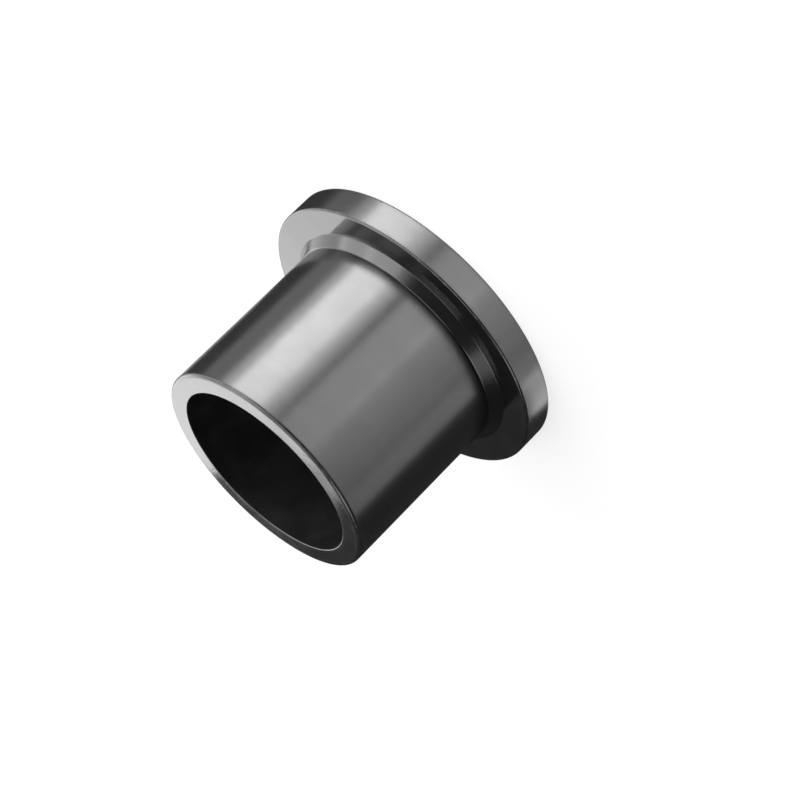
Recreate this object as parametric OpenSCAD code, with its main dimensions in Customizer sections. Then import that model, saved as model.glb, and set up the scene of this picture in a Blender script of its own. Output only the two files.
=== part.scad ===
// Stub end for a lapped flange joint: a plain pipe spigot that grows through a
// tapered shoulder into a thick, square lap. A loose backing ring slides over the
// spigot, seats on the back of the lap and presses its grooved face on a gasket.
// It is moulded in one piece, so it is one section turned about the pipe's axis.
// The origin is the centre of the gasket face, and +Z runs to the spigot's end.

/* [Spigot] */
// Outside diameter of the pipe spigot
spigot_d = 160; // [110:1:250]
// Wall thickness of the spigot, a pressure pipe's eleventh of the diameter
wall = 14.6; // [8:0.1:24]
// Length from the gasket face to the spigot's end
overall_len = 152; // [90:1:300]
// Round along the outer edge of the spigot's end
spigot_edge = 2.4; // [0.3:0.1:4]
// Round along the bore's edge at the spigot's end
bore_edge = 0.5; // [0.3:0.1:2]

/* [Lap] */
// How far the lap stands out from the spigot's surface
lap_reach = 26; // [18:0.5:45]
// Thickness of the lap, from the gasket face to the ring's seat
lap_thickness = 21.5; // [12:0.5:40]
// Round along the lap's back edge, beside the ring's seat
lap_back_edge = 1.6; // [0.5:0.1:4]
// Round along the lap's front edge, beside the gasket face
lap_front_edge = 1.2; // [0.5:0.1:4]
// Round along the bore's edge at the gasket face
bore_mouth_edge = 1.2; // [0.3:0.1:3]

/* [Shoulder] */
// How far the shoulder's foot stands out from the spigot, where it meets the lap
shoulder_rise = 5.9; // [3:0.1:12]
// Slope of the shoulder, from the pipe's axis
shoulder_slope = 37.5; // [25:0.5:60]
// Round on the shoulder's nose, where it springs from the spigot
shoulder_nose = 1; // [0.4:0.1:2]
// Fillet between the shoulder's foot and the ring's seat
shoulder_fillet = 0.8; // [0.3:0.1:2.5]

/* [Sealing grooves] */
// Distance from one groove to the next
groove_pitch = 5; // [3:0.5:10]
// Width of a groove at the gasket face
groove_width = 1.4; // [0.6:0.1:2.4]
// Depth of a groove
groove_depth = 0.6; // [0.2:0.1:1.5]
// Plain land kept inside and outside the grooved band
groove_land = 9; // [5:0.5:15]

/* [Hidden] */
$fn = 180;

spigot_r = spigot_d / 2;
bore_r = spigot_r - wall;
lap_r = spigot_r + lap_reach;
shoulder_r = spigot_r + shoulder_rise;

// The nose is a round centred on the spigot's surface, and the taper leaves it as a tangent.
taper_normal = [cos(shoulder_slope), sin(shoulder_slope)];
taper_height = (shoulder_rise - shoulder_nose * taper_normal[0]) / tan(shoulder_slope);
taper_top = [spigot_r + shoulder_nose * taper_normal[0], lap_thickness + taper_height];
nose_centre = taper_top - shoulder_nose * taper_normal;

// The fillet touches the taper on one side and the ring's seat on the other.
foot = [shoulder_r, lap_thickness];
fillet_run = shoulder_fillet * (1 - taper_normal[1]) / taper_normal[0];
fillet_centre = foot + [fillet_run, shoulder_fillet];

// The grooves share the face's middle, as many as fit between the two plain lands.
groove_room = lap_r - bore_r - 2 * groove_land;
groove_count = groove_room < 0 ? 0 : floor(groove_room / groove_pitch) + 1;
groove_mean_r = (bore_r + lap_r) / 2;

// What a quarter round takes from a square corner: the corner is at the origin,
// the material lies towards +X and +Y, and the cut runs a little past both edges.
module corner_cut(radius) {
    past = 1;
    difference() {
        translate([-past, -past]) square(radius + past);
        translate([radius, radius]) circle(radius);
    }
}

// Pipe wall and lap, with square edges
module wall_and_lap() {
    translate([bore_r, 0]) square([wall, overall_len]);
    translate([bore_r, 0]) square([lap_r - bore_r, lap_thickness]);
}

// Tapered shoulder with its rounded nose
module shoulder() {
    inside = spigot_r - wall / 2;
    polygon([
        [inside, lap_thickness / 2],
        [shoulder_r, lap_thickness / 2],
        foot,
        taper_top,
        nose_centre,
        [inside, nose_centre[1]]
    ]);
    translate(nose_centre) circle(shoulder_nose);
}

// Fillet that blends the shoulder's foot into the ring's seat
module foot_fillet() {
    difference() {
        polygon([
            foot - [1, 1],
            foot + [fillet_run, -1],
            foot + [fillet_run, 0],
            fillet_centre,
            fillet_centre - shoulder_fillet * taper_normal,
            fillet_centre - (shoulder_fillet + 1) * taper_normal
        ]);
        translate(fillet_centre) circle(shoulder_fillet);
    }
}

// Rounds along the five outer edges
module edge_rounds() {
    translate([lap_r, 0]) rotate(90) corner_cut(lap_front_edge);
    translate([lap_r, lap_thickness]) rotate(180) corner_cut(lap_back_edge);
    translate([spigot_r, overall_len]) rotate(180) corner_cut(spigot_edge);
    translate([bore_r, overall_len]) rotate(270) corner_cut(bore_edge);
    translate([bore_r, 0]) corner_cut(bore_mouth_edge);
}

// One V-shaped groove, open at the gasket face
module groove() {
    past = 0.5;
    flare = (groove_width / 2) * (groove_depth + past) / groove_depth;
    polygon([[-flare, -past], [flare, -past], [0, groove_depth]]);
}

module sealing_grooves() {
    for (i = [0:1:groove_count - 1])
        translate([groove_mean_r + (i - (groove_count - 1) / 2) * groove_pitch, 0]) groove();
}

module section() {
    difference() {
        union() {
            wall_and_lap();
            shoulder();
            foot_fillet();
        }
        edge_rounds();
        sealing_grooves();
    }
}

module stub_end() {
    color("#1e1e1f") rotate_extrude() section();
}

stub_end();
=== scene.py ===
"""Stub end for a lapped flange joint, in black polyethylene, on a pale studio floor.

It is made in one piece: a plain pipe spigot, a tapered shoulder and a thick lap.
Metres, in the frame of the CAD model: +Z runs from the sealing face to the spigot's end.
"""

import math

import bpy
import numpy as np
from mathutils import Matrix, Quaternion, Vector


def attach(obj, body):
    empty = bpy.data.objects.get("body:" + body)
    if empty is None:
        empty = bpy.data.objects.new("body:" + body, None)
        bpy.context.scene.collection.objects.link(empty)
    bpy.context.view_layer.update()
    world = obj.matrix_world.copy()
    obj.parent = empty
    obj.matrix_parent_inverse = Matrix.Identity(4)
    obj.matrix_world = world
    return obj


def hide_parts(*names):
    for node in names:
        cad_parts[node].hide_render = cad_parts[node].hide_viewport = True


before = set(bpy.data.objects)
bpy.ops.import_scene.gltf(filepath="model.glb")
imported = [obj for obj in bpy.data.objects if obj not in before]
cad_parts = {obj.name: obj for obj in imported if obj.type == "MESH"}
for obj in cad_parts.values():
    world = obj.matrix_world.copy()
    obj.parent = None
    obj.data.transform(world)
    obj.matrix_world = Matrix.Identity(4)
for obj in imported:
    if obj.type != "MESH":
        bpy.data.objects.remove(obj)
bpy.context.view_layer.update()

# The stub end: one thick piece of black polyethylene, moulded and then turned to size, so
# every edge has its small round. The walls keep a satin skin, the end and the back of the
# lap are planed smoother, and the sealing face has shallow V grooves cut round it.
MM = 0.001
SPIGOT_R = 80.0
BORE_R = 65.4
OVERALL_LENGTH = 152.0
SPIGOT_EDGE = 2.4
BORE_EDGE = 0.5
LAP_R = 106.0
LAP_THICKNESS = 21.5
LAP_BACK_EDGE = 1.6
LAP_FRONT_EDGE = 1.2
BORE_MOUTH_EDGE = 1.2
SHOULDER_RISE = 5.9
SHOULDER_SLOPE = 37.5
SHOULDER_NOSE = 1.0
SHOULDER_FILLET = 0.8
GROOVE_PITCH = 5.0
GROOVE_WIDTH = 1.4
GROOVE_DEPTH = 0.6
GROOVE_COUNT = 5

STEPS_PER_ROUND = 10
STRAIGHT_STEP = 5.0
TURN_STEPS = 384


def straight(start, end):
    """Short runs of wall from start to end, closer together near both ends, facing right of the way."""
    run = np.subtract(end, start)
    length = float(np.hypot(run[0], run[1]))
    facing = np.array([run[1], -run[0]]) / length
    count = max(3, math.ceil(length / STRAIGHT_STEP))
    even = np.linspace(0, 1, count + 1)
    eased = even * even * (3 - 2 * even)
    points = np.asarray(start) + eased[:, None] * run
    return [(points[i], points[i + 1], facing, facing) for i in range(count)]


def rounded(centre, radius, first, last, hollow=False):
    """Short runs along a round, from the first angle to the last; a hollow one faces its centre."""
    angles = np.radians(np.linspace(first, last, STEPS_PER_ROUND + 1))
    out = np.stack([np.cos(angles), np.sin(angles)], axis=1)
    points = np.asarray(centre) + radius * out
    facing = -out if hollow else out
    return [(points[i], points[i + 1], facing[i], facing[i + 1]) for i in range(STEPS_PER_ROUND)]


# The section runs from the bore's mouth out across the sealing face, up the rim, in along the
# back of the lap, up the shoulder and the pipe, in across the end and down the bore.
slope = math.radians(SHOULDER_SLOPE)
cone_facing = np.array([math.cos(slope), math.sin(slope)])
cone_foot = np.array([SPIGOT_R + SHOULDER_RISE, LAP_THICKNESS])
cone_height = (SHOULDER_RISE - SHOULDER_NOSE * cone_facing[0]) / math.tan(slope)
cone_top = np.array([SPIGOT_R + SHOULDER_NOSE * cone_facing[0], LAP_THICKNESS + cone_height])
nose_centre = cone_top - SHOULDER_NOSE * cone_facing
fillet_run = SHOULDER_FILLET * (1 - cone_facing[1]) / cone_facing[0]
fillet_centre = cone_foot + np.array([fillet_run, SHOULDER_FILLET])
fillet_end = fillet_centre - SHOULDER_FILLET * cone_facing
nose_end = nose_centre + np.array([0, SHOULDER_NOSE])

section = rounded((BORE_R + BORE_MOUTH_EDGE, BORE_MOUTH_EDGE), BORE_MOUTH_EDGE, 180, 270)
land_start = (BORE_R + BORE_MOUTH_EDGE, 0)
middle_r = (BORE_R + LAP_R) / 2
for count in range(GROOVE_COUNT):
    groove_r = middle_r + (count - (GROOVE_COUNT - 1) / 2) * GROOVE_PITCH
    groove_in = (groove_r - GROOVE_WIDTH / 2, 0)
    groove_root = (groove_r, GROOVE_DEPTH)
    groove_out = (groove_r + GROOVE_WIDTH / 2, 0)
    section += straight(land_start, groove_in)
    section += straight(groove_in, groove_root)
    section += straight(groove_root, groove_out)
    land_start = groove_out
section += straight(land_start, (LAP_R - LAP_FRONT_EDGE, 0))
section += rounded((LAP_R - LAP_FRONT_EDGE, LAP_FRONT_EDGE), LAP_FRONT_EDGE, 270, 360)
section += straight((LAP_R, LAP_FRONT_EDGE), (LAP_R, LAP_THICKNESS - LAP_BACK_EDGE))
section += rounded((LAP_R - LAP_BACK_EDGE, LAP_THICKNESS - LAP_BACK_EDGE), LAP_BACK_EDGE, 0, 90)
section += straight((LAP_R - LAP_BACK_EDGE, LAP_THICKNESS), (fillet_centre[0], LAP_THICKNESS))
section += rounded(fillet_centre, SHOULDER_FILLET, 270, 180 + SHOULDER_SLOPE, hollow=True)
section += straight(fillet_end, cone_top)
section += rounded(nose_centre, SHOULDER_NOSE, SHOULDER_SLOPE, 90)
section += straight(nose_end, (SPIGOT_R, OVERALL_LENGTH - SPIGOT_EDGE))
section += rounded((SPIGOT_R - SPIGOT_EDGE, OVERALL_LENGTH - SPIGOT_EDGE), SPIGOT_EDGE, 0, 90)
section += straight((SPIGOT_R - SPIGOT_EDGE, OVERALL_LENGTH), (BORE_R + BORE_EDGE, OVERALL_LENGTH))
section += rounded((BORE_R + BORE_EDGE, OVERALL_LENGTH - BORE_EDGE), BORE_EDGE, 90, 180)
section += straight((BORE_R, OVERALL_LENGTH - BORE_EDGE), (BORE_R, BORE_MOUTH_EDGE))

# One turn of the section: a circle of points for each of its corners, and true normals all over.
profile = np.array([run[0] for run in section])
circles = len(profile)
turn = np.linspace(0, 2 * math.pi, TURN_STEPS, endpoint=False)
around = np.stack([np.cos(turn), np.sin(turn)], axis=1)
points = np.zeros((circles, TURN_STEPS, 3))
points[:, :, :2] = profile[:, None, :1] * around[None]
points[:, :, 2] = profile[:, None, 1]
circle = np.arange(circles)[:, None]
step = np.arange(TURN_STEPS)[None]
next_circle = (circle + 1) % circles
next_step = (step + 1) % TURN_STEPS
corners = np.stack([
    circle * TURN_STEPS + step,
    circle * TURN_STEPS + next_step,
    next_circle * TURN_STEPS + next_step,
    next_circle * TURN_STEPS + step,
], axis=2).reshape(-1, 4)

stub_end_mesh = bpy.data.meshes.new("stub_end_turned")
stub_end_mesh.from_pydata((points.reshape(-1, 3) * MM).tolist(), [], corners.tolist())
stub_end_mesh.shade_smooth()
facing_start = np.array([run[2] for run in section])
facing_end = np.array([run[3] for run in section])
corner_facing = np.zeros((circles, TURN_STEPS, 4, 3))
for corner, (facing, along) in enumerate((
        (facing_start, turn), (facing_start, turn + turn[1]),
        (facing_end, turn + turn[1]), (facing_end, turn))):
    corner_facing[:, :, corner, 0] = facing[:, :1] * np.cos(along)[None]
    corner_facing[:, :, corner, 1] = facing[:, :1] * np.sin(along)[None]
    corner_facing[:, :, corner, 2] = facing[:, 1:]
stub_end_mesh.normals_split_custom_set(corner_facing.reshape(-1, 3).tolist())

# Three masks for the finish: how near a point is to an outer edge, which faces are planed,
# and which wall is the bore, which only gets painted light. Wear, and the painted highlight on the
# rounds with it, reaches this share of an edge's own round.
WEAR_REACH = 0.8
OUTER_EDGES = (
    (LAP_R, 0, LAP_FRONT_EDGE),
    (LAP_R, LAP_THICKNESS, LAP_BACK_EDGE),
    (SPIGOT_R, OVERALL_LENGTH, SPIGOT_EDGE),
    (BORE_R, OVERALL_LENGTH, BORE_EDGE),
    (BORE_R, 0, BORE_MOUTH_EDGE),
)
edge_wear_and_highlight = np.zeros(circles)
for edge_r, edge_z, edge_round in OUTER_EDGES:
    distance = np.hypot(profile[:, 0] - edge_r, profile[:, 1] - edge_z)
    edge_wear_and_highlight = np.maximum(edge_wear_and_highlight, np.exp(-(distance / (WEAR_REACH * edge_round)) ** 2))
planed = np.clip(np.abs(facing_start[:, 1]) * 2 - 1, 0, 1)
# The bore mask only lightens the bore's colour, as painted light.
in_bore = np.where(profile[:, 0] < BORE_R + BORE_EDGE, np.clip(-facing_start[:, 0], 0, 1), 0)
for name, values in (("edge_wear_and_highlight", edge_wear_and_highlight), ("planed", planed), ("in_bore", in_bore)):
    mask = stub_end_mesh.attributes.new(name, "FLOAT", "POINT")
    mask.data.foreach_set("value", np.repeat(values, TURN_STEPS))

stub_end = bpy.data.objects.new("stub_end_turned", stub_end_mesh)
bpy.context.scene.collection.objects.link(stub_end)

# Black polyethylene: a satin black with a faint orange peel from the mould, fine marks that
# run round the axis from the turning tool, patchy gloss, edges paler from wear and from a painted
# highlight on the rounds, and the bore lightened with painted light.
black_polyethylene = bpy.data.materials.new("black_polyethylene")
black_polyethylene.use_nodes = True
plastic_tree = black_polyethylene.node_tree
plastic = plastic_tree.nodes["Principled BSDF"]
plastic.inputs["IOR"].default_value = 1.6


def plastic_node(kind, **values):
    """A node of the plastic, with values set on the sockets of those names (_ stands for a space)."""
    made = plastic_tree.nodes.new(kind)
    for socket, value in values.items():
        made.inputs[socket.replace("_", " ")].default_value = value
    return made


def plastic_math(operation, *terms):
    """One sum in the plastic; a term is a number or another node's output."""
    made = plastic_tree.nodes.new("ShaderNodeMath")
    made.operation = operation
    for number, term in enumerate(terms):
        if isinstance(term, (int, float)):
            made.inputs[number].default_value = term
        else:
            plastic_tree.links.new(term, made.inputs[number])
    return made.outputs[0]


place = plastic_node("ShaderNodeTexCoord").outputs["Object"]
split = plastic_node("ShaderNodeSeparateXYZ")
plastic_tree.links.new(place, split.inputs[0])
flat_x, flat_y, height = split.outputs
square_x = plastic_math("MULTIPLY", flat_x, flat_x)
square_y = plastic_math("MULTIPLY", flat_y, flat_y)
out_from_axis = plastic_math("SQRT", plastic_math("ADD", square_x, square_y))

MARK_WIDTH = 1.1 * MM
MARKS_WANDER = 1.4
mark_place = plastic_node("ShaderNodeCombineXYZ")
round_x = plastic_math("DIVIDE", flat_x, out_from_axis)
round_y = plastic_math("DIVIDE", flat_y, out_from_axis)
plastic_tree.links.new(plastic_math("MULTIPLY", round_x, MARKS_WANDER), mark_place.inputs["X"])
plastic_tree.links.new(plastic_math("MULTIPLY", round_y, MARKS_WANDER), mark_place.inputs["Y"])
plastic_tree.links.new(plastic_math("DIVIDE", out_from_axis, MARK_WIDTH), mark_place.inputs["Z"])
tool_marks = plastic_node("ShaderNodeTexNoise", Scale=1.0, Detail=2.0, Roughness=0.6)
tool_marks.noise_dimensions = "4D"
plastic_tree.links.new(mark_place.outputs[0], tool_marks.inputs["Vector"])
plastic_tree.links.new(plastic_math("DIVIDE", height, MARK_WIDTH), tool_marks.inputs["W"])
marks = tool_marks.outputs[0]

orange_peel = plastic_node("ShaderNodeTexNoise", Scale=330.0, Detail=2.0, Roughness=0.5)
plastic_tree.links.new(place, orange_peel.inputs["Vector"])
peel = orange_peel.outputs[0]

slow_waves = plastic_node("ShaderNodeTexNoise", Scale=55.0, Detail=1.0, Roughness=0.4)
plastic_tree.links.new(place, slow_waves.inputs["Vector"])
waves = slow_waves.outputs[0]

gloss_patches = plastic_node("ShaderNodeTexNoise", Scale=55.0, Detail=4.0, Roughness=0.55)
plastic_tree.links.new(place, gloss_patches.inputs["Vector"])
patches = gloss_patches.outputs[0]

scuffs = plastic_node("ShaderNodeTexNoise", Scale=260.0, Detail=5.0, Roughness=0.7)
plastic_tree.links.new(place, scuffs.inputs["Vector"])
scuffed = plastic_node("ShaderNodeMapRange", From_Min=0.42, From_Max=0.68)
plastic_tree.links.new(scuffs.outputs[0], scuffed.inputs["Value"])
wear_mask = plastic_node("ShaderNodeAttribute")
wear_mask.attribute_name = "edge_wear_and_highlight"
worn_and_highlit = plastic_math("MULTIPLY", wear_mask.outputs["Fac"], scuffed.outputs[0])
planed_mask = plastic_node("ShaderNodeAttribute")
planed_mask.attribute_name = "planed"
bore_mask = plastic_node("ShaderNodeAttribute")
bore_mask.attribute_name = "in_bore"

# Colour: near black in soft patches, lighter down the bore with painted light, and paler along the
# edges, partly from wear and partly a painted highlight on the rounds.
PATCH_SHADE = 0.3
# Paler along the edges: part wear, part a painted highlight on the rounds.
RUBBED_AND_PAINTED_HIGHLIGHT = 0.7
# Lighter down the bore: painted light that stands in for light not reaching down it.
BORE_PAINTED_LIGHT = 0.17
COLOUR_STOPS = (
    (0.0, (0.0070, 0.0070, 0.0073, 1)),
    (0.3, (0.0100, 0.0100, 0.0104, 1)),
    (1.0, (0.0800, 0.0800, 0.0820, 1)),
)
colour = plastic_node("ShaderNodeValToRGB")
colour.color_ramp.elements.new(0.5)
for stop, (position, black) in zip(colour.color_ramp.elements, COLOUR_STOPS):
    stop.position = position
    stop.color = black
shade = plastic_math("MULTIPLY", patches, PATCH_SHADE)
# Wear and a painted highlight along the edges.
shade = plastic_math("MULTIPLY_ADD", worn_and_highlit, RUBBED_AND_PAINTED_HIGHLIGHT, shade)
# Painted light down the bore.
shade = plastic_math("MULTIPLY_ADD", bore_mask.outputs["Fac"], BORE_PAINTED_LIGHT, shade)
plastic_tree.links.new(shade, colour.inputs[0])
plastic_tree.links.new(colour.outputs["Color"], plastic.inputs["Base Color"])

# Gloss: satin skin, smoother where it is planed, duller where it is rubbed.
SKIN_ROUGHNESS = 0.235
PLANED_ROUGHNESS = 0.085
PATCH_SPREAD = 0.09
MARK_SPREAD = 0.05
EDGE_DULLING = 0.10
RUBBED_DULLING = 0.10
planing = PLANED_ROUGHNESS - SKIN_ROUGHNESS
gloss = plastic_math("MULTIPLY_ADD", planed_mask.outputs["Fac"], planing, SKIN_ROUGHNESS)
gloss = plastic_math("MULTIPLY_ADD", plastic_math("SUBTRACT", patches, 0.5), PATCH_SPREAD, gloss)
gloss = plastic_math("MULTIPLY_ADD", plastic_math("SUBTRACT", marks, 0.5), MARK_SPREAD, gloss)
gloss = plastic_math("MULTIPLY_ADD", wear_mask.outputs["Fac"], EDGE_DULLING, gloss)
gloss = plastic_math("MULTIPLY_ADD", worn_and_highlit, RUBBED_DULLING, gloss)
plastic_tree.links.new(gloss, plastic.inputs["Roughness"])

# Relief: slow waves from cooling, the orange peel and the tool marks, all of them only
# hundredths of a millimetre deep, or less.
WAVE_DEPTH = 0.06 * MM
PEEL_DEPTH = 0.018 * MM
MARK_DEPTH = 0.003 * MM
wave_relief = plastic_node("ShaderNodeBump", Strength=1.0, Distance=WAVE_DEPTH)
plastic_tree.links.new(waves, wave_relief.inputs["Height"])
peel_relief = plastic_node("ShaderNodeBump", Strength=1.0, Distance=PEEL_DEPTH)
plastic_tree.links.new(peel, peel_relief.inputs["Height"])
plastic_tree.links.new(wave_relief.outputs[0], peel_relief.inputs["Normal"])
mark_relief = plastic_node("ShaderNodeBump", Strength=1.0, Distance=MARK_DEPTH)
plastic_tree.links.new(marks, mark_relief.inputs["Height"])
plastic_tree.links.new(peel_relief.outputs[0], mark_relief.inputs["Normal"])
plastic_tree.links.new(mark_relief.outputs[0], plastic.inputs["Normal"])

stub_end_mesh.materials.append(black_polyethylene)
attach(stub_end, "root")
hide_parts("stub_end")

# The studio floor: a wide pale sheet that the stub end stands on, lap down.
# It keeps the soft shadow, and lets the low lamps through to the walls above it.
FLOOR_HALF = 6.0
FLOOR_GLOW = 0.75
floor_mesh = bpy.data.meshes.new("floor")
floor_mesh.from_pydata(
    [(-FLOOR_HALF, -FLOOR_HALF, 0), (FLOOR_HALF, -FLOOR_HALF, 0),
     (FLOOR_HALF, FLOOR_HALF, 0), (-FLOOR_HALF, FLOOR_HALF, 0)],
    [], [(0, 1, 2, 3)])
floor = bpy.data.objects.new("floor", floor_mesh)
bpy.context.scene.collection.objects.link(floor)
floor_paint = bpy.data.materials.new("floor_paint")
floor_paint.use_nodes = True
floor_tree = floor_paint.node_tree
matt = floor_tree.nodes["Principled BSDF"]
matt.inputs["Base Color"].default_value = (0.9, 0.9, 0.9, 1)
matt.inputs["Roughness"].default_value = 0.9
white = floor_tree.nodes.new("ShaderNodeEmission")
white.inputs["Color"].default_value = (1, 1, 1, 1)
white.inputs["Strength"].default_value = 1.0
floor_ray = floor_tree.nodes.new("ShaderNodeLightPath")
white_share = floor_tree.nodes.new("ShaderNodeMath")
white_share.operation = "MULTIPLY"
white_share.inputs[1].default_value = FLOOR_GLOW
floor_mix = floor_tree.nodes.new("ShaderNodeMixShader")
floor_tree.links.new(floor_ray.outputs["Is Camera Ray"], white_share.inputs[0])
floor_tree.links.new(white_share.outputs[0], floor_mix.inputs["Fac"])
floor_tree.links.new(matt.outputs["BSDF"], floor_mix.inputs[1])
floor_tree.links.new(white.outputs["Emission"], floor_mix.inputs[2])
floor_tree.links.new(floor_mix.outputs[0], floor_tree.nodes["Material Output"].inputs["Surface"])
floor_mesh.materials.append(floor_paint)
floor.visible_glossy = False
floor.visible_shadow = False

# The studio lamps: soft boxes set round the stub end by the directions that its walls mirror.
# Azimuth 0 is the camera's side and grows towards +X; the low ones shine up the walls.
LAMPS_AIM = Vector((0, 0, 0.07))
FAR = 3.0


def softbox(name, azimuths, elevations, radiance, tilt=0, aim=LAMPS_AIM, away=FAR):
    """A soft lamp that faces the aim and spans these degrees as seen from there."""
    az = math.radians(sum(azimuths) / 2)
    el = math.radians(sum(elevations) / 2)
    out = Vector((math.sin(az) * math.cos(el), -math.cos(az) * math.cos(el), math.sin(el)))
    lamp = bpy.data.lights.new(name, "AREA")
    lamp.shape = "RECTANGLE"
    lamp.size = 2 * away * math.tan(math.radians(azimuths[1] - azimuths[0]) / 2)
    lamp.size_y = 2 * away * math.tan(math.radians(elevations[1] - elevations[0]) / 2)
    lamp.energy = radiance * math.pi * lamp.size * lamp.size_y
    holder = bpy.data.objects.new(name, lamp)
    holder.location = aim + away * out
    holder.rotation_mode = "QUATERNION"
    turned = Quaternion((0, 0, 1), math.radians(tilt))
    holder.rotation_quaternion = (-out).to_track_quat("-Z", "Y") @ turned
    holder.visible_camera = False
    bpy.context.scene.collection.objects.link(holder)


# The pipe and the rim mirror these low ones: a strong key on the left, and fills to the right.
LOW = (-33, -15.7)
softbox("key", (46, 78), (-30.5, -15.7), 12.6)
softbox("key_top", (46, 78), (-19.5, -15.7), 4.5)
softbox("key_inner", (36, 46), LOW, 7.48)
softbox("key_inner_edge", (28, 36), LOW, 4.13)
softbox("key_inner_top", (19, 28), (-20, -14), 2.06)
softbox("key_outer_edge", (78, 91), (-26, -14.5), 5.0)
softbox("key_wing", (91, 119), (-27, -14.5), 0.9)
softbox("front_fill", (-14, 20), LOW, 4.64)
softbox("right_fill_1", (-22, -14), LOW, 3.61)
softbox("right_fill_2", (-32, -22), LOW, 3.1)
softbox("right_fill_3", (-44, -32), LOW, 2.67)
softbox("right_fill_4", (-58, -44), LOW, 2.15)
softbox("right_fill_5", (-76, -58), LOW, 1.59)
softbox("right_fill_6", (-93, -76), LOW, 1.63)
softbox("rear_fill", (158, 177), (-22.5, -8), 0.83)
softbox("rim_strip", (-117, -76), (-33, -16), 2.75, aim=Vector((-0.07, -0.04, 0)), away=0.13)

# The shoulder and the edges mirror these, from the level of the part up to overhead.
softbox("key_upper_inner", (27, 38), (0, 30), 2.92)
softbox("key_upper", (53, 80), (-8, 30), 4.47)
softbox("key_upper_outer", (80, 106), (-8, 13), 2.75)
softbox("high_left", (52, 81), (33, 49), 4.64, -20)
softbox("high_left_edge", (38, 50), (41, 53), 1.55)
softbox("high_side", (81, 112), (21, 37), 4.3, -27)
softbox("side_panel", (106, 148), (-8, 24), 2.05)

# The end and the back of the lap mirror these, across from the camera.
softbox("back_panel", (130, 179), (23.1, 44), 1.48)
softbox("back_panel_soft", (130, 180.7), (23.3, 44), 1.48)
softbox("back_panel_faint", (181, 192), (14, 40), 0.035)
softbox("back_panel_high", (152, 183), (46, 64), 3.06)
softbox("back_panel_low", (138, 177.6), (6, 22.9), 3.15)

# High ones for the rounds and the tops, and one from underneath for the bore.
softbox("high_right", (-91, -67), (30.5, 44.5), 1.29)
softbox("high_back_right", (-114, -76), (44, 62), 3.44)
softbox("high_middle", (95, 148), (41, 64), 2.58)
softbox("overhead", (38, 52), (42, 98), 5.59, 45, away=2.2)
softbox("under", (-36, 36), (-126, -54), 1.55)

# The studio's surround: white to the camera, and only a faint light on the part.
SURROUND_LIGHT = 0.04
SURROUND_WHITE = 1.0
world = bpy.data.worlds.new("studio")
bpy.context.scene.world = world
world.use_nodes = True
sky_tree = world.node_tree
sky = sky_tree.nodes["Background"]
sky.inputs["Color"].default_value = (1, 1, 1, 1)
sky_ray = sky_tree.nodes.new("ShaderNodeLightPath")
sky_level = sky_tree.nodes.new("ShaderNodeMapRange")
sky_level.inputs["To Min"].default_value = SURROUND_LIGHT
sky_level.inputs["To Max"].default_value = SURROUND_WHITE
sky_tree.links.new(sky_ray.outputs["Is Camera Ray"], sky_level.inputs["Value"])
sky_tree.links.new(sky_level.outputs["Result"], sky.inputs["Strength"])

# The camera: a long lens, well back from the part and a little above it, and rolled so that
# the standing part lies across the frame, with its end towards the lower left.
EYE = Vector((0, -1.5355, 0.6934))
LOOK_AT = Vector((-0.0282, 0, 0.0518))
LENS = 117
ROLL = -135.1
camera_data = bpy.data.cameras.new("camera")
camera_data.sensor_width = 36
camera_data.lens = LENS
camera = bpy.data.objects.new("camera", camera_data)
camera.location = EYE
camera.rotation_mode = "QUATERNION"
level_aim = (LOOK_AT - EYE).to_track_quat("-Z", "Y")
camera.rotation_quaternion = level_aim @ Quaternion((0, 0, 1), math.radians(ROLL))
bpy.context.scene.collection.objects.link(camera)
bpy.context.scene.camera = camera
bpy.context.scene.view_settings.view_transform = "Standard"
